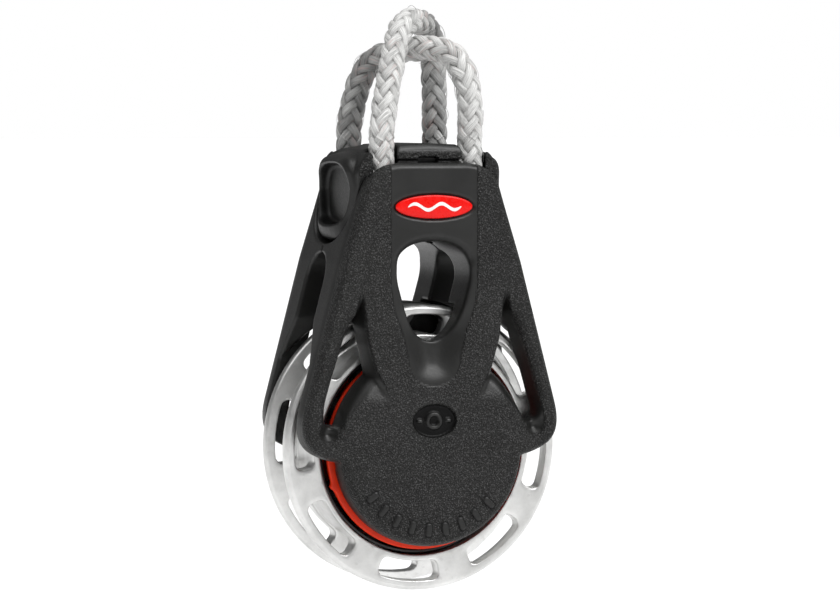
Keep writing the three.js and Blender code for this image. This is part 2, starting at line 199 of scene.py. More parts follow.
def about_axle(radius, y, angle):
    """A list of points at a radius and an angle about the Y axis, and at a place along it."""
    places = np.broadcast_arrays(radius * np.cos(angle), y, radius * np.sin(angle))
    return np.stack(places, -1).reshape(-1, 3)


def turned(profile, segments=192):
    """A closed profile of (radius, y) carried round the Y axis, as points and quads facing outwards."""
    profile = np.asarray(profile, float)
    radius, y = profile.T
    area = np.sum(radius * np.roll(y, -1) - np.roll(radius, -1) * y)
    faces = grid_faces(segments, len(profile), True, True)
    return about_axle(radius[None], y[None], full_turn(segments)[:, None]), facing(faces, area > 0)


def unit(vectors):
    """Each row over its own length."""
    return vectors / np.linalg.norm(vectors, axis=1, keepdims=True)


def length_along(line, power=1):
    """The sum, up to each point, of the steps' lengths to a power."""
    return np.concatenate([[0], np.cumsum(np.linalg.norm(np.diff(line, axis=0), axis=1) ** power)])


def placed_along(line, along, at):
    """Points on a line at given lengths along it."""
    return np.stack([np.interp(at, along, values) for values in line.T], 1)


def rounded(corners, radii, steps=5):
    """A closed outline whose corners are quarter rounds: each corner point becomes a quadratic curve."""
    corners = np.asarray(corners, float)
    radii = np.broadcast_to(np.asarray(radii, float), len(corners))
    before, after = np.roll(corners, 1, 0) - corners, np.roll(corners, -1, 0) - corners
    reach_before = np.minimum(radii, np.linalg.norm(before, axis=1) * 0.49)
    reach_after = np.minimum(radii, np.linalg.norm(after, axis=1) * 0.49)
    start = corners + unit(before) * reach_before[:, None]
    end = corners + unit(after) * reach_after[:, None]
    t = np.linspace(0, 1, steps)[None, :, None]
    curve = (1 - t) ** 2 * start[:, None] + 2 * t * (1 - t) * corners[:, None] + t ** 2 * end[:, None]
    return curve.reshape(-1, 2)


def bend(start, control, end, steps=10):
    """Points of a quadratic curve, with both ends."""
    t = np.linspace(0, 1, steps)[:, None]
    return (1 - t) ** 2 * np.array(start) + 2 * t * (1 - t) * np.array(control) + t ** 2 * np.array(end)


def arc(radius, start, end, steps, centre=(0.0, 0.0)):
    """Points of a circle arc from one angle to another, in degrees."""
    angle = np.radians(np.linspace(start, end, steps))
    return np.stack([centre[0] + radius * np.cos(angle), centre[1] + radius * np.sin(angle)], 1)


def inside_of(outline):
    """A function of two coordinates: the distance to a closed outline, negative inside it."""
    outline = np.asarray(outline, float)

    def distance(a, b):
        a, b = np.broadcast_arrays(a, b)
        nearest = np.full(a.shape, np.inf)
        inside = np.zeros(a.shape, bool)
        for (a0, b0), (a1, b1) in zip(outline, np.roll(outline, -1, 0)):
            da, db = a1 - a0, b1 - b0
            share = np.clip(((a - a0) * da + (b - b0) * db) / max(da * da + db * db, 1e-12), 0, 1)
            nearest = np.minimum(nearest, (a - a0 - share * da) ** 2 + (b - b0 - share * db) ** 2)
            if db:
                inside ^= ((b0 <= b) != (b1 <= b)) & (a < a0 + (b - b0) * da / db)
        return np.where(inside, -1.0, 1.0) * np.sqrt(nearest)
    return distance


def smooth_step(value, low, high):
    """0 below low, 1 above high, and an S between."""
    t = np.clip((value - low) / (high - low), 0, 1)
    return t * t * (3 - 2 * t)


def both(a, b, radius):
    """Where two shapes overlap, with the edge between them rounded."""
    u, v = np.maximum(a + radius, 0), np.maximum(b + radius, 0)
    return np.minimum(np.maximum(a, b), -radius) + np.sqrt(u * u + v * v)


def either(a, b, radius):
    """Two shapes together, with the corner between them filled to a radius."""
    return -both(-a, -b, radius)


def skin_of(depth, low, high, step):
    """The zero surface of a depth function, negative inside, worked out on a grid as whole arrays.

    Each cell that the surface crosses holds one point, the mean of where it crosses the cell's edges, moved
    once down the slope of the function onto it. Each grid edge that it crosses holds one quad.
    """
    axes = [np.arange(a, b + step, step) for a, b in zip(low, high)]
    values = depth(axes[0][:, None, None], axes[1][None, :, None], axes[2][None, None, :])
    values = np.broadcast_to(values, [len(a) for a in axes])
    shape = np.array(values.shape) - 1
    cells, places, edges = [], [], []
    for axis in range(3):
        count = values.shape[axis]
        first = np.take(values, np.arange(count - 1), axis)
        second = np.take(values, np.arange(1, count), axis)
        crossed = (first < 0) != (second < 0)
        index = np.argwhere(crossed)
        a, b = first[crossed], second[crossed]
        place = index.astype(float)
        place[:, axis] += a / (a - b)
        one, two = (axis + 1) % 3, (axis + 2) % 3
        ring = []
        for d1, d2 in ((1, 1), (0, 1), (0, 0), (1, 0)):
            cell = index.copy()
            cell[:, one] -= d1
            cell[:, two] -= d2
            flat = (cell[:, 0] * shape[1] + cell[:, 1]) * shape[2] + cell[:, 2]
            cells.append(flat)
            places.append(place)
            ring.append(flat)
        ring = np.stack(ring, 1)
        edges.append(np.where((a < 0)[:, None], ring, ring[:, ::-1]))
    cells, places = np.concatenate(cells), np.concatenate(places)
    used, number = np.unique(cells, return_inverse=True)
    counts = np.bincount(number)
    mean = np.stack([np.bincount(number, places[:, k]) / counts for k in range(3)], 1)
    points = np.array(low) + mean * step
    nudge = step * 0.1
    here = depth(*points.T)
    slope = np.stack([(depth(*(points + nudge * way).T) - here) / nudge for way in np.eye(3)], 1)
    move = -slope * (here / np.maximum((slope ** 2).sum(1), 0.05))[:, None]
    reach = np.linalg.norm(move, axis=1, keepdims=True)
    points = points + move * np.minimum(1, 0.4 * step / np.maximum(reach, 1e-9))
    return points, np.searchsorted(used, np.concatenate(edges))


# ---- finishes ----
class Finish:
    """A procedural material, with short calls for its nodes. Its patterns lie on Object coordinates."""

    def __init__(self, name, colour, roughness, metallic=0.0, specular=0.5):
        self.material = bpy.data.materials.new(name)
        self.material.use_nodes = True
        self.tree = self.material.node_tree
        self.shader = self.tree.nodes["Principled BSDF"]
        for socket, value in (("Base Color", (*colour, 1)), ("Roughness", roughness), ("Metallic", metallic),
                              ("Specular IOR Level", specular)):
            self.give(socket, value)
        self.place = self.tree.nodes.new("ShaderNodeTexCoord").outputs["Object"]
        self.bumps = None

    def node(self, kind, inputs=None, **settings):
        made = self.tree.nodes.new("ShaderNode" + kind)
        for name, value in settings.items():
            setattr(made, name, value)
        for name, value in (inputs or {}).items():
            self.put(made.inputs[name], value)
        return made

    def put(self, socket, value):
        if isinstance(value, bpy.types.NodeSocket):
            self.tree.links.new(value, socket)
        else:
            socket.default_value = value

    def give(self, name, value):
        """Sets or feeds one of the shader's own sockets."""
        self.put(self.shader.inputs[name], value)

    def stretched(self, vector, scale):
        return self.node("Mapping", {"Vector": vector, "Scale": scale}).outputs["Vector"]

    def noise(self, scale, detail=2.0, roughness=0.5, vector=None):
        inputs = {"Vector": vector or self.place, "Scale": scale, "Detail": detail, "Roughness": roughness}
        return self.node("TexNoise", inputs).outputs["Fac"]

    def cells(self, scale):
        return self.node("TexVoronoi", {"Vector": self.place, "Scale": scale}).outputs["Distance"]

    def span(self, value, low, high, to_low=0.0, to_high=1.0):
        inputs = {"Value": value, "From Min": low, "From Max": high, "To Min": to_low, "To Max": to_high}
        return self.node("MapRange", inputs).outputs["Result"]

    def maths(self, operation, a, b):
        return self.node("Math", {0: a, 1: b}, operation=operation).outputs["Value"]

    def times(self, a, b):
        return self.maths("MULTIPLY", a, b)

    def mix(self, share, a, b):
        made = self.node("Mix", {0: share}, data_type="RGBA")
        for socket, value in ((made.inputs[6], a), (made.inputs[7], b)):
            self.put(socket, value if isinstance(value, bpy.types.NodeSocket) else (*value, 1))
        return made.outputs[2]

    def mark(self, name):
        return self.node("Attribute", attribute_name=name).outputs["Fac"]

    def bump(self, height, strength, distance):
        """Raises the surface by a height over a distance in millimetres, on top of the bumps before it."""
        inputs = {"Height": height, "Strength": strength, "Distance": distance * MM}
        if self.bumps:
            inputs["Normal"] = self.bumps
        self.bumps = self.node("Bump", inputs).outputs["Normal"]
        self.give("Normal", self.bumps)


def moulded_nylon():
    """Charcoal glass-filled nylon: spark-eroded pebbles where the mould was textured, satin where it was
    not.

    The mark "pebble" is 1 on textured mould faces, where small bright glints are painted into the
    colour, and "shade" is 1 where shade is painted in, where the moulding looks darkest.
    """
    made = Finish("moulded_nylon", (0.012, 0.012, 0.0115), 0.45)
    pebble, shade = made.mark("pebble"), made.mark("shade")
    bumps = made.cells(3300)
    grain = made.noise(4200, 2.0, 0.6)
    heights = made.maths("ADD", made.times(bumps, 0.55), made.times(grain, 0.55))
    made.bump(made.times(heights, made.span(pebble, 0, 1, 0.03, 1.0)), 1.0, 0.3)
    made.bump(made.noise(420, 3.0), 0.22, 0.1)
    # Painted highlight: small bright glints put into the colour of the pebbled faces.
    glint = made.span(made.noise(5600, 1.0, 0.5), 0.54, 0.68)
    glint = made.times(glint, made.times(pebble, 0.4))
    mottle = made.span(made.noise(240, 3.0), 0.35, 0.65)
    base = made.mix(mottle, (0.007, 0.007, 0.0066), (0.011, 0.011, 0.0105))
    with_painted_glints = made.mix(glint, base, (0.135, 0.135, 0.135))
    # Painted shade: where the mark "shade" is 1, the colour goes near black and the specular falls, taking
    # out reflections.
    made.give("Base Color", made.mix(shade, with_painted_glints, (0.003, 0.003, 0.003)))
    gloss = made.span(pebble, 0, 1, 0.40, 0.21)
    made.give("Specular IOR Level", made.times(gloss, made.span(shade, 0, 1, 1.0, 0.3)))
    matt = made.span(pebble, 0, 1, 0.40, 0.5)
    made.give("Roughness", made.maths("ADD", matt, made.span(grain, 0.3, 0.7, -0.05, 0.07)))
    return made.material


def shade_black_moulding():
    """Near-black moulding, as painted shade in the gap round the ball cages, with faint flow marks."""
    made = Finish("liner_black", (0.008, 0.008, 0.008), 0.3)
    made.bump(made.noise(900, 3.0), 0.2, 0.08)
    flow = made.span(made.noise(500, 3.0), 0.35, 0.7)
    made.give("Base Color", made.mix(flow, (0.008, 0.008, 0.008), (0.012, 0.012, 0.012)))
    made.give("Roughness", made.span(made.noise(700, 2.0), 0.3, 0.7, 0.24, 0.38))
    return made.material


def satin_aluminium():
    """Bead-blasted and clear-anodised aluminium, with fine pits, handling scuffs and a few nicks."""
    made = Finish("satin_aluminium", (0.7, 0.7, 0.69), 0.36, 1.0)
    made.bump(made.noise(4200, 3.0, 0.6), 0.45, 0.035)
    away = made.span(made.cells(330), 0.025, 0.06)
    nick = made.times(made.maths("SUBTRACT", 1.0, away), made.span(made.noise(170, 2.0), 0.52, 0.58))
    made.bump(made.maths("SUBTRACT", 1.0, nick), 0.6, 0.08)
    streaks = made.stretched(made.place, (900, 5200, 900))
    scuff = made.span(made.noise(1.0, 3.0, 0.6, vector=streaks), 0.62, 0.74)
    cloud = made.span(made.noise(150, 5.0, 0.65), 0.35, 0.65)
    tone = made.mix(cloud, (0.60, 0.60, 0.59), (0.78, 0.78, 0.77))
    tone = made.mix(made.times(scuff, 0.3), tone, (0.42, 0.41, 0.40))
    made.give("Base Color", made.mix(made.times(nick, 0.8), tone, (0.30, 0.29, 0.28)))
    made.give("Roughness", made.span(made.noise(900, 3.0), 0.3, 0.7, 0.33, 0.47))
    return made.material


def coloured_moulding(name, colour, roughness, depth=0.5, shine=0.5):
    """A coloured plastic moulding, a little uneven in tone and gloss."""
    made = Finish(name, colour, roughness, specular=shine)
    dark = tuple(c * 0.86 for c in colour)
    made.give("Base Color", made.mix(made.span(made.noise(700, 3.0), 0.3, 0.7), dark, colour))
    made.give("Roughness", made.span(made.noise(1500, 2.0), 0.3, 0.7, roughness - 0.05, roughness + 0.08))
    made.bump(made.noise(1800, 2.0), 0.15 * depth, 0.05)
    return made.material


def polished_steel():
    """Turned stainless steel, with faint marks from the tool."""
    made = Finish("turned_steel", (0.62, 0.62, 0.63), 0.22, 1.0)
    made.bump(made.noise(3000, 2.0), 0.12, 0.02)
    made.give("Roughness", made.span(made.noise(1200, 2.0), 0.3, 0.7, 0.18, 0.3))
    made.give("Base Color", made.mix(made.noise(400, 2.0), (0.58, 0.58, 0.6), (0.66, 0.66, 0.66)))
    return made.material


def braided_fibre():
    """Silver-grey high-modulus fibre: fine filaments along each yarn, a few of them pink, and painted shade
    that darkens the low places between the filaments.

    The mark "tone" is 0 on the darkest yarns and 1 on the palest; it also carries painted shade, lower
    towards the rear and where a yarn dips under its neighbours, and far below 0 on the core, which it
    paints near black as shade. The map "strand" counts round a yarn in U and along it in V.
    """
    made = Finish("braided_fibre", (0.5, 0.5, 0.5), 0.5)
    uv = made.node("UVMap", uv_map="strand").outputs["UV"]
    threads = made.noise(1.0, 4.0, 0.6, vector=made.stretched(uv, (26, 0.55, 1)))
    bundles = made.noise(1.0, 2.0, 0.5, vector=made.stretched(uv, (9, 0.28, 1)))
    made.bump(threads, 0.7, 0.12)
    made.bump(bundles, 0.45, 0.16)
    tone = made.mark("tone")
    yarn = made.mix(tone, (0.25, 0.25, 0.245), (0.78, 0.78, 0.765))
    # Painted shade: a tone below -0.5, on the core only, gives near black, for the shade in the gaps between
    # yarns.
    pale = made.mix(made.span(tone, -1.5, -0.5), (0.03, 0.03, 0.03), yarn)
    # Painted shade: this dark colour goes where the threads' bump is low, between the filaments.
    gap = (0.06, 0.06, 0.06)
    shaded = made.mix(made.span(threads, 0.34, 0.58), made.mix(0.7, pale, gap), pale)
    patches = made.span(made.noise(160, 1.0), 0.5, 0.58)
    pink = made.times(made.span(bundles, 0.57, 0.63), patches)
    tinted = made.mix(made.times(pink, 0.5), shaded, (0.5, 0.34, 0.32))
    made.give("Base Color", made.mix(made.times(made.span(threads, 0.3, 0.2), 0.7), tinted, gap))
    made.give("Roughness", made.span(threads, 0.3, 0.7, 0.5, 0.36))
    return made.material


NYLON = moulded_nylon()
LINER_PAINTED_SHADE = shade_black_moulding()
ALUMINIUM = satin_aluminium()
CAGE_RED = coloured_moulding("cage_red", (0.78, 0.030, 0.003), 0.36, 0.5, 0.22)
BADGE_RED = coloured_moulding("badge_red", (0.80, 0.003, 0.001), 0.26, 0.05, 0.28)
BADGE_WHITE = coloured_moulding("badge_white", (0.85, 0.85, 0.85), 0.25, 0.2)
ACETAL = coloured_moulding("ball_acetal", (0.02, 0.02, 0.02), 0.25)
STEEL = polished_steel()
FIBRE = braided_fibre()


# ---- rope link: one endless twelve-strand braid, in four pieces that meet just above the head ----
# Each loop's centreline: a share of the way from the middle to a leg, and a height above the sheave's centre.
LOOP_OVER = [[-1, 43.15], [-0.93, 45.6], [-0.81, 49.2], [-0.68, 52.2], [-0.48, 55.8], [-0.22, 58.55],
             [0.12, 59.45], [0.48, 59.3], [0.78, 58.1], [0.93, 55.4], [0.96, 51.6], [0.98, 47.4], [1, 43.15]]
LOOP_UNDER = [[-1, 43.15], [-1.01, 46.4], [-0.97, 50.1], [-0.84, 53.1], [-0.6, 55.1], [-0.3, 55.6], [0, 55.4],
              [0.3, 54.95], [0.56, 54.0], [0.77, 51.8], [0.9, 48.6], [0.97, 45.6], [1, 43.15]]
CHEVRON = 2.1
STRANDS_EACH_WAY = 6
ROPE_STEP = 0.24
YARN_SIDES, CORE_SIDES, FIBRE_SIDES = 14, 10, 3
YARN_RADIUS, YARN_SWING = 1.24, 0.19
YARN_HALF_WIDTH, YARN_HALF_HEIGHT = 0.595, 0.37
CORE_RADIUS = 1.05
# The core's tone lies far below the yarns', so it is painted near black: painted shade in the gaps between
# the yarns.
CORE_PAINTED_SHADE = -2.0
LOOSE_FIBRES = 0.25
FIBRE_RADIUS, FIBRE_THICK = 1.72, 0.035


def through(points, steps=24):
    """A smooth curve through points: on each span, the cubic whose end slopes come from the points on
    either side, with the spans timed by the square root of their lengths.
    """
    points = np.asarray(points, float)
    points = np.concatenate([[2 * points[0] - points[1]], points, [2 * points[-1] - points[-2]]])
    times = length_along(points, 0.5)
    out = []
    for k in range(1, len(points) - 2):
        p, t = points[k - 1:k + 3], times[k - 1:k + 3]
        at = np.linspace(t[1], t[2], steps, endpoint=k == len(points) - 3)[:, None]
        a = [p[i] + (p[i + 1] - p[i]) * (at - t[i]) / (t[i + 1] - t[i]) for i in range(3)]
        b = [a[i] + (a[i + 1] - a[i]) * (at - t[i]) / (t[i + 2] - t[i]) for i in range(2)]
        out.append(b[0] + (b[1] - b[0]) * (at - t[1]) / (t[2] - t[1]))
    return np.concatenate(out)


def loop_line(points, along):
    """A loop's centreline in the upright plane through two opposite legs, straight where it leaves the
    head.
    """
    points = [[-1, 40.0], *points, [1, 40.0]]
    line = through([[share, z, 0] for share, z in points])
    line = line[line[:, 1] > ROPE_JOIN + 0.05]
    side = np.sign(line[:, 0])
    share = side + (line[:, 0] - side) * smooth_step(line[:, 1], ROPE_JOIN, ROPE_JOIN + 3.5)
    line = np.stack([share * along[0], share * along[1], line[:, 1]], 1)
    ends = [[side * along[0], side * along[1], ROPE_JOIN] for side in (-1, 1)]
    return np.concatenate([ends[:1], line, ends[1:]])


def bight_line(hand):
    """A U under the saddle: two straight legs and a half circle, from the rear leg to the front one."""
    turn = arc(ROPE_Y, 0, -180, 61, (0.0, SADDLE_HEIGHT))
    legs = [[ROPE_Y, ROPE_JOIN], [-ROPE_Y, ROPE_JOIN]]
    flat = np.concatenate([legs[:1], turn, legs[1:]])
    return np.stack([np.full(len(flat), hand * ROPE_X), flat[:, 0], flat[:, 1]], 1)


def evenly(line, step):
    """The line again with points at even steps, and the distance along it of each."""
    along = length_along(line)
    at = np.linspace(0, along[-1], int(round(along[-1] / step)) + 1)
    return placed_along(line, along, at), at


def length_of(line):
    """The sum of a line's straight steps."""
    return float(np.linalg.norm(np.diff(line, axis=0), axis=1).sum())


# Each run of the rope in its order round the endless loop: its piece, its CAD node and its line.
ROPE_RUNS = [
    ("loop_over_braid", "link_loop_over", loop_line(LOOP_OVER, (ROPE_X, ROPE_Y))),
    ("bight_right_braid", "rope_bight_right", bight_line(1)),
    ("loop_under_braid", "link_loop_under", loop_line(LOOP_UNDER, (-ROPE_X, ROPE_Y))),
    ("bight_left_braid", "rope_bight_left", bight_line(-1)),
]
ROPE_LENGTH = sum(length_of(line) for _, _, line in ROPE_RUNS)
LEAD = ROPE_LENGTH / round(ROPE_LENGTH / (STRANDS_EACH_WAY * CHEVRON))


def rope_frame(line, at):
    """The rope's way on, the normal of the upright plane it lies in, the side square to both, and a twist
    that runs smoothly from one end's turn about Z to the other's, so that the braid meets its
    neighbours.
    """
    onward = unit(np.gradient(line, at, axis=0))
    onward[0], onward[-1] = np.round(onward[0]), np.round(onward[-1])
    run = (line[-1] - line[0]) * np.array([1, 1, 0])
    flat = np.cross(run / np.linalg.norm(run), [0, 0, 1.0])
    side = np.cross(onward, flat)
    turns = [math.atan2(side[k][0], flat[0]) for k in (0, -1)]
    if abs(turns[1] - turns[0]) > math.pi:
        turns[1] += 2 * math.pi * np.sign(turns[0] - turns[1])
    twist = turns[0] + (turns[1] - turns[0]) * smooth_step(at, 0, at[-1])
    return onward, flat, side, twist


def braid(line, start, seed):
    """Twelve flat yarns in a two-over, two-under braid, round a core painted near black as shade in the
    gaps between them, with a few loose fibres.

    A yarn's centre lies at radius r from the rope's, at an angle that grows with the length s by a full
    turn for each lead, six yarns one way and six the other. r swings between an upper and a lower value as
    the yarn goes over two and under two, by the cosine of its crossing count. Its section is a flattened
    round whose width lies square to the yarn's own way. A loose fibre is a thin tube that lifts off the
    rope and comes back along half a sine.
    """
    points, at = evenly(line, ROPE_STEP)
    onward, flat, side, twist = rope_frame(points, at)
    s = start + at
    random = np.random.default_rng(seed)
    all_points, all_uv, all_tone = [], [], []
    quads, caps, core_caps, fibre_caps = [], [], [], []

    def add_tube(tube, uv, tone, inwards, ends):
        """Keeps one closed tube, given as rings of points; inwards says which way its rings run."""
        rings, sides = tube.shape[:2]
        offset = sum(len(p) for p in all_points)
        all_points.append(tube.reshape(-1, 3))
        all_uv.append(uv)
        all_tone.append(np.broadcast_to(tone, rings * sides))
        faces = grid_faces(rings, sides, False, True)
        quads.append(facing(faces, not inwards) + offset)
        ring = np.arange(sides)[None, :] + offset
        ends.append(facing(ring, inwards))
        ends.append(facing(ring + (rings - 1) * sides, not inwards))

    section = full_turn(YARN_SIDES)
    half_way = np.abs(np.linspace(-1, 1, YARN_SIDES, endpoint=False))[None, :]
    for way in (1, -1):
        for k in range(STRANDS_EACH_WAY):
            steady = np.random.default_rng(100 + k + 10 * way)
            wobble = [steady.uniform(0, 2 * np.pi, 3), steady.uniform(0.16, 0.55, 3)]
            uneven = sum(np.sin(s * f + p) for p, f in zip(*wobble)) / 3
            uneven2 = sum(np.cos(s * f * 1.3 + 2 * p) for p, f in zip(*wobble)) / 3
            angle = way * 2 * np.pi * s / LEAD + 2 * np.pi * k / STRANDS_EACH_WAY + twist + 0.05 * uneven
            count = 12 * s / LEAD + way * 2 * k
            swing = way * np.cos(np.pi * (count - 0.5 * way) / 2)
            radius = YARN_RADIUS + YARN_SWING * np.tanh(1.6 * swing) / np.tanh(1.6) + 0.05 * uneven2
            outward = np.cos(angle)[:, None] * flat + np.sin(angle)[:, None] * side
            centre = points + radius[:, None] * outward
            across = unit(np.cross(unit(np.gradient(centre, at, axis=0)), outward))
            width = (YARN_HALF_WIDTH + 0.09 * uneven)[:, None, None]
            height = (YARN_HALF_HEIGHT - 0.04 * uneven + 0.04 * swing)[:, None, None]
            u, v = np.cos(section)[None, :, None], np.sin(section)[None, :, None]
            v = np.sign(v) * np.abs(v) ** 0.7
            tube = centre[:, None] + width * u * across[:, None] + height * v * outward[:, None]
            around = np.broadcast_to(half_way + 3.1 * k + way, (len(at), YARN_SIDES))
            uv = np.stack([around, np.broadcast_to(s[:, None], around.shape)], -1).reshape(-1, 2)
            # Painted shade: the yarns are made darker towards the rear, by up to 0.75 of their tone, and
            # darker where they dip under their neighbours.
            painted_rear_shade = 0.75 * smooth_step(points[:, 1], -2, 5)
            tone = steady.uniform(0.45, 0.95) + 0.2 * uneven + 0.38 * swing - painted_rear_shade
            add_tube(tube, uv, np.repeat(tone, YARN_SIDES), True, caps)
    corner = np.radians([90, 210, 330])[None, :, None]
    for _ in range(int(len(at) * LOOSE_FIBRES)):
        first = random.integers(0, len(at) - 14)
        span = np.arange(first, first + random.integers(8, 14))
        share = np.linspace(0, 1, len(span))
        angle = random.uniform(0, 2 * np.pi) + share * random.uniform(-1.2, 1.2)
        lift = FIBRE_RADIUS + random.uniform(0.12, 0.45) * np.sin(np.pi * share * random.uniform(0.7, 1.0))
        outward = np.cos(angle)[:, None] * flat + np.sin(angle)[:, None] * side[span]
        hair = points[span] + lift[:, None] * outward
        tube = hair[:, None] + FIBRE_THICK * (np.cos(corner) * flat + np.sin(corner) * outward[:, None])
        add_tube(tube, np.zeros((len(span) * FIBRE_SIDES, 2)), random.uniform(0.1, 1.0), False, fibre_caps)
    turn = full_turn(CORE_SIDES)[None, :, None]
    core = points[:, None] + CORE_RADIUS * (np.cos(turn) * flat + np.sin(turn) * side[:, None])
    add_tube(core, np.zeros((len(at) * CORE_SIDES, 2)), CORE_PAINTED_SHADE, True, core_caps)
    faces = [np.concatenate(block) for block in (quads, caps, core_caps, fibre_caps)]
    return np.concatenate(all_points), faces, np.concatenate(all_uv), np.concatenate(all_tone)


def make_rope():
    """The four runs of the braid, one after another.
    """
    start = 0.0
    for number, (name, node, line) in enumerate(ROPE_RUNS):
        points, faces, uv, tone = braid(line, start, number)
        made = piece(name, points, faces, FIBRE, None, [node], uv=uv, marks={"tone": tone})
        start += length_of(line)
        if name.startswith("loop"):
            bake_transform(made)
        else:
            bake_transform(made)


make_rope()


# ---- cheeks ----
SHEAVE_ROOM_RADIUS, SHEAVE_ROOM_HALF = 20.5, 6.35
STRIP_STEP, DISH_DEPTH, DIMPLE_DEPTH = 0.12, 1.2, 1.4
OVAL_HEIGHT, OVAL_SUNK, SYMBOL_RISE, BADGE_SUNK = 4.2, 0.55, 0.4, 0.42
PAD_CIRCLE, PAD_RISE, PAD_STEP, PAD_MIDDLE, PAD_REACH = 10.9, 0.3, 13.0, 95.0, 59


def mirrored(right):
    """An outline from its right half, listed from the top middle down to the bottom middle."""
    right = np.asarray(right, float)
    return np.concatenate([right, (right * [-1, 1])[::-1]])


def oval(half_width, half_height, middle, count):
    """Points of an ellipse about a height on the Z axis."""
    turn = full_turn(count)
    return np.stack([half_width * np.cos(turn), middle + half_height * np.sin(turn)], 1)


CHEEK_OUTLINE = mirrored(np.concatenate([
    bend((4.8, 40), (8.9, 39.8), (10.1, 36.6)), [(11.0, 33.6), (13.35, 26.1), (14.85, 20.4)],
    bend((18.6, 6.2), (19.75, 1.7), (17.0, 0.0)), bend((17.0, 0.0), (15.4, -0.9), (13.85, -1.2), 5),
    arc(HUB_RADIUS, -6, -90, 40),
]))
WINDOW_OUTLINE = mirrored(np.concatenate([
    bend((0, 28.9), (3.4, 28.9), (4.8, 27.0)), bend((4.8, 27.0), (5.9, 25.2), (4.9, 22.0)),
    bend((4.9, 22.0), (3.3, 15.3), (0, 15.2)),
]))
STRIP_OUTLINE = mirrored(np.concatenate([
    [(6.5, 42)], bend((6.5, 24), (6.4, 20), (5.2, 17.4)), bend((5.2, 17.4), (4.4, 15.3), (3.9, 13.0)),
    bend((3.9, 13.0), (3.5, 8.9), (0, 8.9)),
]))
PANEL_EDGE = np.array([(6.2, 4.0), (6.4, 7.0), (7.1, 9.1), (7.7, 10.2), (8.35, 11.4), (8.85, 13.0),
                       (9.5, 15.0), (9.85, 17.5), (10.15, 20.3), (10.55, 22.6)])
LEG_EDGE = np.array([(16.6, 3.0), (16.4, 5.0), (15.6, 8.0), (14.8, 10.7), (13.9, 13.4), (12.9, 16.4),
                     (11.5, 19.2), (10.65, 22.3)])
SLOT_OUTLINE = np.concatenate([
    arc(14.3, 16, 49, 9), [(9.75, 13.2), (10.35, 15.6)], bend((10.6, 16.8), (11.4, 18.4), (12.0, 16.6), 6),
    [(15.2, 6.4)], bend((15.45, 5.2), (15.5, 4.0), (14.6, 3.95), 6),
])
outline_at, window_at = inside_of(CHEEK_OUTLINE), inside_of(WINDOW_OUTLINE)
strip_at, slot_at = inside_of(STRIP_OUTLINE), inside_of(SLOT_OUTLINE)
mark_oval_at = inside_of(oval(3.2, 2.32, OVAL_HEIGHT, 60))
badge_oval_at = inside_of(oval(5.95, 1.88, BADGE_HEIGHT, 80))


def raised_marks(x, z):
    """A row of plain raised pads round the lower half of the hub: rounded bars, evenly spaced on a circle.
    """
    radius, angle = np.hypot(x, z), np.degrees(np.arctan2(z, x))
    turn = (angle + PAD_MIDDLE + PAD_STEP / 2) % PAD_STEP - PAD_STEP / 2
    wide = np.abs(np.radians(turn) * radius) - 0.45
    tall = np.abs(radius - PAD_CIRCLE) - 0.95
    pad = both(wide, tall, 0.3)
    in_reach = np.abs(angle + PAD_MIDDLE) < PAD_REACH
    return np.where(in_reach, PAD_RISE * smooth_step(-pad, -0.12, 0.12), 0)


def dimple_at(across, z):
    """The distance from the dimple below a slot's end."""
    return np.hypot(across - 15.2, z - 2.9)


def shoulder_low(across):
    """The height at which the sunken shoulder beside each slot starts, at a distance from the middle."""
    return 7.2 - 4.3 * smooth_step(across, 9.5, 15.0)


def past_edges(across, z):
    """How far a point lies outside the panel's edge, and how far inside the leg's."""
    past_panel = across - np.interp(z, PANEL_EDGE[:, 1], PANEL_EDGE[:, 0])
    return past_panel, np.interp(z, LEG_EDGE[:, 1], LEG_EDGE[:, 0]) - across


def face_drop(x, z):
    """How far the cheek's outer face lies under its highest plane.

    The strip is a shallow step; the dish under the window deepens upwards from an arc; each groove lies
    between the panel's edge and the leg's, shallow at its low end and deep at its top; a dimple ends each
    slot.
    """
    across = np.abs(x)
    strip, window = strip_at(x, z), window_at(x, z)
    drop = STRIP_STEP * smooth_step(-strip, -0.12, 0.12) * smooth_step(z, 11.5, 16.5)
    rise = np.clip((z - 8.9) / 6.4, 0, 1)
    dish = DISH_DEPTH * (1 - (1 - rise) ** 2) * smooth_step(-strip, -0.4, 3.3)
    drop = drop + dish * (1 - smooth_step(z, 16.0, 20.5))
    over_window = smooth_step(z, 24.5, 27.5)
    drop = np.maximum(drop, over_window * np.clip(1.0 - window, 0, 1.4) * 0.9)
    past_panel, past_leg = past_edges(across, z)
    sunk = 2.0 * smooth_step(z - shoulder_low(across), -0.8, 7.5) + 1.4 * smooth_step(z, 14.0, 18.5)
    in_groove = smooth_step(past_panel, -0.15, 1.0) * smooth_step(past_leg, -0.15, 1.0)
    drop = drop + sunk * in_groove * smooth_step(23.2 - z, 0, 2.6)
    near_slot = np.clip(1 - slot_at(across, z) / 2.0, 0, 1)
    drop = drop + 1.7 * near_slot ** 2 * smooth_step(past_panel, 0, 1.5) * smooth_step(z, 4.0, 7.5)
    drop = drop + DIMPLE_DEPTH * np.exp(-(dimple_at(across, z) / 1.3) ** 2)
    drop = drop + OVAL_SUNK * smooth_step(-mark_oval_at(x, z), -0.12, 0.18)
    drop = drop + BADGE_SUNK * smooth_step(-badge_oval_at(x, z), -0.14, 0.14)
    drop = drop - SYMBOL_RISE * smooth_step(-symbol_at(x, z), -0.1, 0.1)
    return drop - raised_marks(x, z)


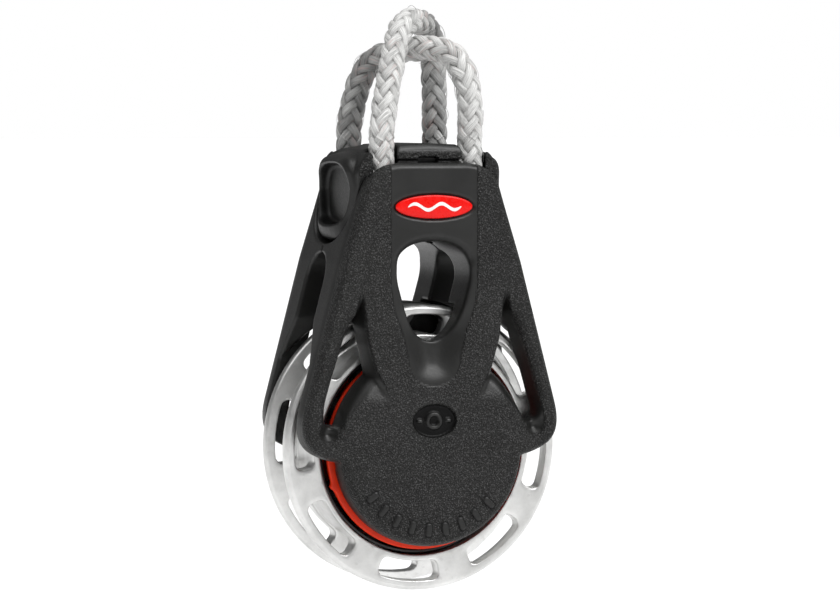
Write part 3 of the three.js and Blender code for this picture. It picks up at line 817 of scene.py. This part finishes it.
ENTRY_OUTLINE = np.concatenate([
    [(-6.6, -2), (-6.6, 12.0), (-3.8, 18.0)], arc(3.8, 180, 0, 24, (0.0, 23.4)),
    [(3.8, 18.0), (6.6, 12.0), (6.6, -2)],
])
END_HOLLOW = mirrored([(8.5, 46), (8.5, 38.0), *bend((7.9, 34.5), (6.9, 28.6), (0, 28.4), 14)])
entry_at, end_hollow_at = inside_of(ENTRY_OUTLINE), inside_of(END_HOLLOW)


def cheek_depth(x, t, z):
    """A cheek, with t the distance outwards from the middle plane.

    The plate is what lies under the outer face and inside the outline, with a roll-off 1.1 mm in and 3 mm
    deep between them. From it are taken the sheave's room, the line's way through, the head's room, the
    window and the two slots. The hub core stands on its inside.
    """
    across = np.abs(x)
    radius = np.hypot(x, z)
    over = (t - (CHEEK_FACE - face_drop(x, z))) * (1.1 / 3.0)
    body = both(over, outline_at(x, z), 1.1)
    body = both(body, PARTING_GAP - t, 0.1)
    sheave_room = np.maximum(radius - SHEAVE_ROOM_RADIUS, t - SHEAVE_ROOM_HALF)
    body = both(body, -sheave_room, 0.25)
    body = both(body, -entry_at(t, z), 0.35)
    head_room = np.maximum(np.minimum(np.hypot(t, z - SADDLE_HEIGHT) - 9.1,
                                      np.maximum(t - 9.1, SADDLE_HEIGHT - z)), across - 9.1)
    body = both(body, -head_room, 0.2)
    end_room = np.maximum(np.maximum(end_hollow_at(t, z), 8.7 - across), t - 9.2)
    body = both(body, -end_room, 0.2)
    body = both(body, -window_at(x, z), 0.3)
    lean = np.clip((t - 7.5) / 2.9, 0, 1) * 0.35
    body = both(body, -(slot_at(across, z) - lean), 0.5)
    core = both(radius - HUB_CORE_RADIUS, np.maximum(PARTING_GAP - t, t - 7.0), 0.2)
    return np.minimum(body, core)


def pebbles(x, t, z):
    """Where the mould is textured: 1 on the flat of the outer face, 0 on the strip, flanks, edges and
    inside, and rising above 1 along the strip's edges, where the part above 1 only adds painted glints.
    """
    across = np.abs(x)
    on_face = smooth_step(t, CHEEK_FACE - 2.0, CHEEK_FACE - 1.2)
    off_edge = smooth_step(-outline_at(x, z), 0.02, 0.3)
    strip = strip_at(x, z)
    off_strip = smooth_step(strip, -0.15, 0.1)
    past_panel, past_leg = past_edges(across, z)
    groove = np.minimum(smooth_step(past_panel, -0.1, 0.25), smooth_step(past_leg, -0.1, 0.25))
    off_groove = 1 - groove * smooth_step(z - shoulder_low(across), -0.8, 1.2) * (z < 23.2)
    off_slot = smooth_step(slot_at(across, z), 0.2, 0.5) * smooth_step(dimple_at(across, z), 0.9, 1.5)
    off_oval = smooth_step(mark_oval_at(x, z), -0.15, 0.1)
    off_marks = 1 - smooth_step(raised_marks(x, z), 0.02, 0.2)
    edge = 0.9 * np.exp(-(strip / 0.16) ** 2) * smooth_step(z, 14, 17) * on_face * off_edge
    return on_face * off_edge * off_strip * off_groove * off_slot * off_oval * off_marks + edge


def symbol_at(x, z):
    """A small ring between two short bars, in the oval."""
    ring = np.abs(np.hypot(x, z - OVAL_HEIGHT) - 0.95) - 0.26
    bars = both(np.abs(np.abs(x) - 2.1) - 0.42, np.abs(z - OVAL_HEIGHT) - 0.26, 0.1)
    return np.minimum(ring, bars)


def painted_shade_at(x, t, z):
    """Painted shade: where the moulding looks darkest, on the floor of the oval and the sides of the raised
    marks.
    """
    radius = np.hypot(x, z)
    oval = smooth_step(-mark_oval_at(x, z), -0.1, 0.15) * smooth_step(symbol_at(x, z), -0.15, 0.1)
    marks = raised_marks(x, z)
    ring = np.exp(-((marks - 0.12) / 0.11) ** 2) * (np.abs(radius - PAD_CIRCLE) < 1.6) * (marks > 0.004)
    return np.maximum(oval, ring) * (t > CHEEK_FACE - 1.0)


def make_cheeks():
    """One skin, with its points' Y turned over for the front cheek."""
    points, quads = skin_of(cheek_depth, (-19.9, -0.3, -14.2), (19.9, 11.2, 40.8), 0.26)
    marks = {"pebble": pebbles(*points.T), "shade": painted_shade_at(*points.T)}
    for name, side in (("front", -1), ("rear", 1)):
        piece(f"cheek_{name}_moulding", points * [1, side, 1], [facing(quads, side > 0)], NYLON, "frame",
              [f"cheek_{name}"], marks=marks)


make_cheeks()


# ---- head insert, saddle and badges ----
PLUG_RADIUS, PLUG_HALF = 8.7, 8.4
ROPE_WAY_RADIUS = 2.25
NOTCH_MIDDLE, NOTCH_HALF, NOTCH_TOP = -0.25, 1.45, 40.55
SEAM_HEIGHT, SEAM_HALF = 40.05, 0.14
DOME = mirrored([(0, 42.4), (4.5, 42.2), (7.4, 41.75), *bend((8.6, 41.5), (12.5, 40.6), (12.95, 36.2), 10),
                 (13.0, 34.0), *bend((12.7, 31.6), (12.2, 29.0), (10.8, 28.4), 8), (0, 28.4)])
QUARTER = np.array([(13.0, 0), (12.9, 1.6), (12.5, 3.2), (11.85, 4.9), (11.1, 6.4), (10.6, 7.6), (10.2, 8.35),
                    (9.8, 8.5), (0, 8.5)])
BARREL = np.concatenate([QUARTER, (QUARTER[::-1] * [-1, 1])[1:], (QUARTER * [-1, -1])[1:],
                         (QUARTER[::-1] * [1, -1])[1:-1]])
END_SHAPE = mirrored([(8.3, 46), (8.3, 38.2), *bend((7.5, 34.5), (6.5, 28.8), (0, 28.7), 14)])
BOSS = mirrored(np.concatenate([bend((0, 41.2), (3.4, 41.2), (4.9, 40.5), 6),
                                bend((4.9, 40.5), (7.5, 39.4), (7.75, 35.8)),
                                bend((7.75, 35.8), (7.2, 28.6), (0, 28.6), 14)]))
dome_at, barrel_at, end_at, boss_at = (inside_of(outline) for outline in (DOME, BARREL, END_SHAPE, BOSS))


def insert_depth(x, y, z):
    """The head insert: a dome in the front view times a barrel from above, stepped to sit in the cheeks.

    Each end is drawn in to an oval boss. Taken from the whole are a pocket in each boss, four round rope
    ways, the saddle's seat, a small notch and a thin seam under the cap.
    """
    across, out = np.abs(x), np.abs(y)
    body = both(dome_at(x, z), barrel_at(x, y), 1.2)
    from_saddle = np.hypot(y, z - SADDLE_HEIGHT)
    plug = np.minimum(from_saddle - PLUG_RADIUS, np.maximum(out - PLUG_HALF, SADDLE_HEIGHT - z))
    plug = np.maximum(plug, across - 8.9)
    ends = both(end_at(y, z), 8.75 - across, 0.3)
    cap = np.maximum(np.maximum(40.15 - z, across - 9.3), out - 8.5)
    body = both(body, np.minimum(np.minimum(plug, ends), cap), 0.15)
    body = both(body, -np.maximum(across - 8.4, z - 31.4), 0.3)
    boss = boss_at(y, z)
    shoulders = both(across - 10.7, (z - 41.3 + 1.5 * (across - 8.9)) * 0.55, 0.5)
    body = both(body, either(shoulders, boss, 0.3), 0.5)
    pocket = both(boss + 1.4 + 0.14 * (12.6 - across), 31.0 - z, 1.6)
    body = both(body, -both(pocket, 9.85 - across, 0.5), 0.5)
    leg = np.hypot(across - ROPE_X, out - ROPE_Y)
    below = np.hypot(across - ROPE_X, from_saddle - ROPE_Y)
    way = np.where(z > SADDLE_HEIGHT, leg, below) - ROPE_WAY_RADIUS
    body = both(body, -way, 0.35)
    seat = np.maximum(np.maximum(from_saddle - 4.75, z - 38.85), across - 9.15)
    body = both(body, -seat, 0.1)
    notch = np.maximum(np.maximum(np.abs(x - NOTCH_MIDDLE) - NOTCH_HALF, z - NOTCH_TOP), 7.2 - out)
    seam = np.maximum(np.maximum(np.abs(z - SEAM_HEIGHT) - SEAM_HALF, 7.9 - out), across - 5.2)
    return both(both(body, -notch, 0.12), -seam, 0.06)


def make_insert():
    """The head's skin: pebbled on its front and back, with painted shade under the boss, in its pocket and
    most on the pocket's walls.
    """
    points, quads = skin_of(insert_depth, (-13.8, -9.4, 27.8), (13.8, 9.4, 43.2), 0.2)
    x, y, z = points.T
    # Painted shade: under the boss's rounded underside, in place of the floor's reflection, and in the
    # pocket, most on its walls.
    under = 0.85 * smooth_step(np.abs(x), 10.3, 11.2) * (1 - smooth_step(z, 30.6, 33.0))
    hollow = smooth_step(-boss_at(y, z), 1.3, 1.9) * (0.3 + 0.6 * smooth_step(np.abs(x), 9.9, 10.5))
    speckled = smooth_step(np.abs(y), 7.9, 8.3) * smooth_step(z, 31, 34) * (1 - smooth_step(z, 41.0, 41.5))
    marks = {"pebble": 0.9 * speckled, "shade": np.maximum(under, hollow)}
    piece("head_moulding", points, [quads], NYLON, "frame", ["head_insert"], marks=marks)


make_insert()

BADGE_HALF_WIDTH, BADGE_HALF_HEIGHT = 5.62, 1.62
BADGE_SEAT, BADGE_CROWN, BADGE_FALL = 0.36, 0.30, 0.16
BADGE_SEGMENTS = 120
MOTIF_HALF = 3.9


def oval_badge(name, side):
    """A domed oval: each ring is the oval shrunk by a share, and its height falls off with the share's
    square.
    """
    shares = np.concatenate([[0.0], np.linspace(0.12, 0.93, 12), [0.97, 1.0, 1.0]])
    heights = BADGE_CROWN - BADGE_FALL * shares ** 2
    heights[-3:] = [0.12, 0.02, -0.34]
    turn = full_turn(BADGE_SEGMENTS)[None, :]
    x = BADGE_HALF_WIDTH * shares[:, None] * np.cos(turn)
    z = BADGE_HEIGHT + BADGE_HALF_HEIGHT * shares[:, None] * np.sin(turn)
    y = side * (CHEEK_FACE - BADGE_SEAT + np.broadcast_to(heights[:, None], x.shape))
    points = np.stack([x, y, z], -1).reshape(-1, 3)
    faces = grid_faces(len(shares), BADGE_SEGMENTS, False, True)
    joined, blocks = welded([(points, facing(faces, side < 0))])
    back = points[-BADGE_SEGMENTS:] if side > 0 else points[:-BADGE_SEGMENTS - 1:-1]
    base = np.argmin(np.abs(joined[None, :, :] - back[:, None, :]).sum(-1), 1)
    piece(f"badge_{name}_plate", joined, [*blocks, base[None, :]], BADGE_RED, "frame",
          [f"badge_{name}"], sharp=50)
    wave_motif(f"badge_{name}_motif", side)


def wave_motif(name, side):
    """A plain white line with two waves: a flat strip carried along a sine, tapered at its ends."""
    across = np.linspace(-MOTIF_HALF, MOTIF_HALF, 90)
    middle = BADGE_HEIGHT + 0.42 * np.sin(across * 2 * np.pi / MOTIF_HALF)
    half = 0.24 * np.sqrt(np.clip(1 - (across / 3.92) ** 8, 0.02, 1))
    share = np.hypot(across / BADGE_HALF_WIDTH, (middle - BADGE_HEIGHT) / BADGE_HALF_HEIGHT)
    top = CHEEK_FACE - BADGE_SEAT + BADGE_CROWN - BADGE_FALL * share ** 2
    edges = [(-1, -0.05), (-1, 0.03), (1, 0.03), (1, -0.05)]
    points = [np.stack([across, side * (top + rise), middle + hand * half], 1) for hand, rise in edges]
    faces = grid_faces(len(across), 4, False, True)
    ends = np.array([[0, 1, 2, 3], len(across) * 4 - 1 - np.arange(4)])
    blocks = [facing(faces, side < 0), facing(ends, side < 0)]
    piece(name, np.stack(points, 1).reshape(-1, 3), blocks, BADGE_WHITE, "frame", sharp=40)


oval_badge("front", -1)
oval_badge("rear", 1)


def make_saddle():
    """A D-shaped bar: a rounded half-round section carried along X, drawn in at both ends."""
    section = np.concatenate([arc(4.55, 195, 345, 40, (0.0, SADDLE_HEIGHT)),
                              bend((4.4, 38.3), (4.3, 38.7), (3.8, 38.7), 5),
                              bend((-3.8, 38.7), (-4.3, 38.7), (-4.4, 38.3), 5)])
    middle = np.array([0.0, SADDLE_HEIGHT])
    stations = [(-9.0, 0.94), (-8.85, 0.985), (-8.6, 1.0), (8.6, 1.0), (8.85, 0.985), (9.0, 0.94)]
    rings = [np.column_stack([np.full(len(section), x), middle + (section - middle) * scale])
             for x, scale in stations]
    faces = grid_faces(len(stations), len(section), False, True)
    first = np.arange(len(section))[None]
    caps = [first, (first + (len(stations) - 1) * len(section))[:, ::-1]]
    piece("saddle_bar", np.concatenate(rings), [faces[:, ::-1], *caps], ALUMINIUM, "frame",
          ["rope_saddle"], sharp=40)


make_saddle()


# ---- sheave ----
WINDOWS = 8
SECTOR_HALF = math.pi / WINDOWS
WINDOW_LOW, WINDOW_HIGH, WINDOW_CORNER = 15.85, 18.65, 1.0
WINDOW_MIDDLE = (WINDOW_LOW + WINDOW_HIGH) / 2
WINDOW_HALF_SPAN = math.radians(14.5)
WINDOW_TURN = math.radians(-90 - 6.7)
FACE_LOW, FACE_HIGH = 15.2, 19.45
SHEAVE_HALF_WIDTH = 5.5
GROOVE_FLOOR, GROOVE_EDGE = 15.65, 19.6
GROOVE_HALF, GROOVE_FLARE = 2.45, 1.05
BEVEL_WIDE, BEVEL_NEAR = 0.22, 0.09
LONG_STEPS, SHORT_STEPS = 26, 10


def window_rings():
    """A window's rounded edge as (angle, radius), the matching points of a unit square, and the edge laid
    flat.
    """
    corner = WINDOW_CORNER
    half_long = WINDOW_HALF_SPAN * (WINDOW_LOW + WINDOW_HIGH) / 2
    half_tall = (WINDOW_HIGH - WINDOW_LOW) / 2
    sides = []
    places = [(-1, -1), (1, -1), (1, 1), (-1, 1)]
    for k, (a, b) in enumerate(places):
        c, d = places[(k + 1) % 4]
        first = np.array([a * (half_long - corner), b * (half_tall - corner)])
        last = np.array([c * (half_long - corner), d * (half_tall - corner)])
        heading = -90 + 90 * k
        curve = np.concatenate([arc(corner, heading - 45, heading, 9, first),
                                arc(corner, heading, heading + 45, 9, last)])
        along = length_along(curve)
        steps = LONG_STEPS if k % 2 == 0 else SHORT_STEPS
        edge = placed_along(curve, along, np.linspace(0, along[-1], steps, endpoint=False))
        share = np.linspace(0, 1, steps, endpoint=False)[:, None]
        square = np.array([a, b]) * (1 - share) + np.array([c, d]) * share
        sides.append(np.concatenate([edge, square], 1))
    ring = np.concatenate(sides)
    edge = np.stack([ring[:, 0] / WINDOW_MIDDLE, WINDOW_MIDDLE + ring[:, 1]], 1)
    return edge, ring[:, 2:], ring[:, :2]


def groove_wall(radius):
    """Half the groove's width at a radius: it widens evenly from its floor to its edge."""
    return GROOVE_HALF + GROOVE_FLARE * np.clip((radius - GROOVE_FLOOR) / (GROOVE_EDGE - GROOVE_FLOOR), 0, 1)


def sheave_patches(side):
    """One flange: its face, its windows' walls and the groove's wall, each from window edge to sector edge.

    Every ring between the two is their weighted mean, and the window's edge has a small bevel on both its
    sides.
    """
    edge, square, flat = window_rings()
    normal = flat / np.array([WINDOW_HALF_SPAN * WINDOW_MIDDLE, (WINDOW_HIGH - WINDOW_LOW) / 2])
    grow = unit(normal) * np.array([1 / WINDOW_MIDDLE, 1.0])
    shares = np.linspace(1, 0, 5)[:, None, None]

    def to_sector(low, high):
        return np.stack([square[:, 0] * SECTOR_HALF, low + (square[:, 1] + 1) / 2 * (high - low)], 1)

    near, wide = edge + grow * BEVEL_NEAR, edge + grow * BEVEL_WIDE
    face = to_sector(FACE_LOW, FACE_HIGH)[None] * shares + wide[None] * (1 - shares)
    rows = [(ring, np.full(len(ring), SHEAVE_HALF_WIDTH)) for ring in face]
    rows += [(near, np.full(len(edge), SHEAVE_HALF_WIDTH - 0.05))]
    rows += [(edge, np.full(len(edge), SHEAVE_HALF_WIDTH - 0.2))]
    rows += [(edge, groove_wall(edge[:, 1]) + 0.2), (near, groove_wall(edge[:, 1]) + 0.05)]
    back = wide[None] * shares + to_sector(GROOVE_FLOOR, GROOVE_EDGE)[None] * (1 - shares)
    rows += [(ring, groove_wall(ring[:, 1])) for ring in back]
    faces = grid_faces(len(rows), len(edge), False, True)
    rings = np.stack([ring for ring, _ in rows])
    y = side * np.stack([height for _, height in rows])
    patches = []
    for k in range(WINDOWS):
        turn = WINDOW_TURN + 2 * math.pi * k / WINDOWS
        patches.append((about_axle(rings[..., 1], y, rings[..., 0] + turn), facing(faces, side > 0)))
    return patches


def swept_rings(profile, shares):
    """An open profile of (radius, y) carried round the sheave at the sector edges' own angles."""
    turns = [WINDOW_TURN + 2 * math.pi * k / WINDOWS for k in range(WINDOWS)]
    angles = np.concatenate([turn + shares * SECTOR_HALF for turn in turns])
    radius, y = profile.T[:, :, None]
    return about_axle(radius, y, angles), grid_faces(len(profile), len(angles), False, True)


def make_sheave():
    """Both flanges, their rims, the groove's floor and the bore, welded where their sector edges meet."""
    patches = sheave_patches(1) + sheave_patches(-1)
    shares = np.linspace(-1, 1, LONG_STEPS, endpoint=False)
    rim = np.array([(FACE_HIGH, SHEAVE_HALF_WIDTH), (19.52, 5.47), (19.86, 5.12), (19.93, 5.03), (20.0, 4.85),
                    (20.0, 4.1), (19.96, 3.85), (19.85, 3.66), (19.74, 3.54),
                    (GROOVE_EDGE, GROOVE_HALF + GROOVE_FLARE)])
    bore = np.array([(FACE_LOW, SHEAVE_HALF_WIDTH), (15.1, 5.46), (15.05, 5.35)])
    floor = bend((GROOVE_FLOOR, GROOVE_HALF), (15.62, 1.6), (15.5, 0), 7)
    floor = np.concatenate([floor, (floor * [1, -1])[::-1][1:]])
    bore = np.concatenate([bore, bore[::-1] * [1, -1]])
    for profile, outwards in ((rim, True), (rim * [1, -1], False), (floor, True), (bore, False)):
        points, faces = swept_rings(profile, shares)
        patches.append((points, facing(faces, outwards)))
    points, faces = welded(patches, 1e-3)
    piece("sheave_wheel", points, faces, ALUMINIUM, "sheave", ["sheave"], sharp=38)


make_sheave()


# ---- bearing ----
NUB_TURN, NUB_WIDTH, NUB_RISE = -160, 1.7, 0.42
BALLS, BALL_RADIUS, BALL_CIRCLE, BALL_ROW = 14, 1.72, 12.6, 2.3
DOWEL_RADIUS, DOWEL_SEGMENTS = 0.8, 40


def make_liner():
    """A thin sleeve with a low lip between the two rows of balls, carried round the axle; its near-black
    finish is painted shade in the gap between the cages and the sheave's bore.
    """
    profile = rounded([(14.42, -4.4), (14.9, -4.4), (14.9, 4.4), (14.42, 4.4), (14.42, 0.42), (13.2, 0.42),
                       (13.2, -0.42), (14.42, -0.42)], 0.12, 4)
    points, quads = turned(profile)
    piece("bore_liner", points, [quads], LINER_PAINTED_SHADE, "sheave", ["outer_race"], sharp=60)


def make_cage(name, side):
    """A ball cage: its profile is a thin web with a flat rim, and the rim swells at one place into a small
    nub, by a bell curve of the angle.
    """
    profile = rounded([(12.15, 0.75), (13.05, 0.75), (13.05, 5.25), (14.15, 5.25), (14.15, 6.05),
                       (12.15, 6.05)], [0.2, 0.2, 0.3, 0.12, 0.22, 0.15], 4)
    points, quads = turned(profile * [1, side], 240)
    x, y, z = points.T
    away = (np.degrees(np.arctan2(z, x)) - NUB_TURN + 180) % 360 - 180
    radius = np.hypot(x, z)
    swell = NUB_RISE * np.exp(-(away / NUB_WIDTH) ** 2) * smooth_step(radius, 13.4, 14.1)
    points = points * np.stack([1 + swell / radius, np.ones_like(x), 1 + swell / radius], 1)
    piece(f"cage_{name}_ring", points, [quads], CAGE_RED, f"ball_row_{name}",
          [f"ball_cage_{name}"], sharp=60)


def make_balls(name, side):
    """Fourteen balls in one mesh: latitude and longitude lines of a sphere, repeated round the pitch
    circle.
    """
    rings, segments = 13, 20
    up = np.linspace(-np.pi / 2, np.pi / 2, rings)[:, None]
    about = full_turn(segments)[None, :]
    places = np.broadcast_arrays(np.cos(up) * np.cos(about), np.cos(up) * np.sin(about), np.sin(up))
    ball = np.stack(places, -1)
    centres = about_axle(BALL_CIRCLE, side * BALL_ROW, 2 * np.pi * np.arange(BALLS) / BALLS)
    faces = grid_faces(rings, segments, False, True)[:, ::-1]
    parts = [(BALL_RADIUS * ball.reshape(-1, 3) + centre, faces) for centre in centres]
    points, quads = welded(parts)
    piece(f"balls_{name}", points, quads, ACETAL, f"ball_row_{name}",
          [f"ball_{name}_{k:02d}" for k in range(1, BALLS + 1)])


def make_hub_steel():
    """Two plain tubes about the axle: the sleeve that the balls run on, and the tube through the hub."""
    sleeve = rounded([(10.3, -5), (10.78, -5), (10.78, 5), (10.3, 5)], 0.12, 4)
    tube = rounded([(1.6, -8.2), (3.0, -8.2), (3.0, 8.2), (1.6, 8.2)], 0.3, 4)
    for name, node, profile, segments in (("inner_sleeve", "inner_race", sleeve, 192),
                                          ("axle_tube", "hub_axle", tube, 64)):
        points, quads = turned(profile, segments)
        piece(name, points, [quads], STEEL, "frame", [node], sharp=60)


def make_dowels():
    """Plain pins with rounded ends, along Y."""
    hub = [(f"hub_dowel_{k + 1}", 6.6 * math.cos(a), 6.6 * math.sin(a), 6.0)
           for k, a in enumerate(np.radians([90, 210, 330]))]
    head = [("head_dowel_left", -10.6, 27.6, 3.2), ("head_dowel_right", 10.6, 27.6, 3.2)]
    turn = full_turn(DOWEL_SEGMENTS)[None, :]
    for name, x, z, half in hub + head:
        profile = np.array([(0.0, -half), (0.5, -half), (0.72, -half + 0.08), (DOWEL_RADIUS, -half + 0.3),
                            (DOWEL_RADIUS, half - 0.3), (0.72, half - 0.08), (0.5, half), (0.0, half)])
        radius, y = profile.T[:, :, None]
        faces = grid_faces(len(profile), DOWEL_SEGMENTS, False, True)
        points, faces = welded([(about_axle(radius, y, turn) + [x, 0, z], faces)])
        piece(f"{name}_pin", points, faces, STEEL, "frame", [name], sharp=50)


make_liner()
for row_name, row_side in (("front", -1), ("rear", 1)):
    make_cage(row_name, row_side)
    make_balls(row_name, row_side)
make_hub_steel()
make_dowels()


# ---- floor ----
def make_floor():
    """A pale floor: a flat grid of points at one height."""
    x, y = np.meshgrid(np.linspace(-12, 12, 9), np.linspace(-4, 20, 9), indexing="ij")
    points = np.stack([x, y, np.full_like(x, SHEAVE_BOTTOM - FLOOR_CLEARANCE * MM)], -1).reshape(-1, 3)
    mesh = bpy.data.meshes.new("studio_floor")
    mesh.from_pydata(points.tolist(), [], grid_faces(9, 9).tolist())
    finish = Finish("studio_paper", (0.95, 0.95, 0.95), 0.9)
    finish.put(finish.shader.inputs["Base Color"],
               finish.mix(finish.noise(2.0, 3.0), (0.94, 0.94, 0.94), (0.96, 0.96, 0.96)))
    mesh.materials.append(finish.material)
    made = bpy.data.objects.new("studio_floor", mesh)
    bpy.context.collection.objects.link(made)


make_floor()

bpy.context.view_layer.update()
